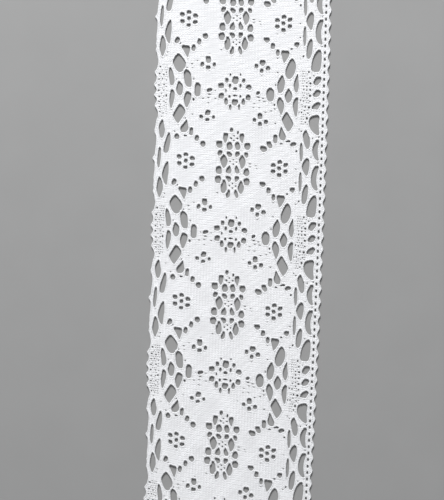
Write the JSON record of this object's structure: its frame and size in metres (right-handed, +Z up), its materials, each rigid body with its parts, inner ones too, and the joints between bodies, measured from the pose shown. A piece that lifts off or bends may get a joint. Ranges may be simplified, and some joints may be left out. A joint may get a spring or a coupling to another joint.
{
  "type": "cotton bobbin lace trim",
  "caption": "White cotton bobbin lace trim, a cut length lying flat, with plaited net, pierced flowers, crossed trails and a picot footing.",
  "frame": {"origin": "bottom centre of the box round the trim as it lies flat", "axes": "+Y along the trim, up in the picture; +X across it towards the picot footing; +Z up out of its face"},
  "size_m": [0.0816, 0.2698, 0.0012],
  "materials": {
    "cotton": "matt woven cotton yarn"
  },
  "bodies": {
    "root": {"lace_trim": "cotton"}
  },
  "joints": []
}
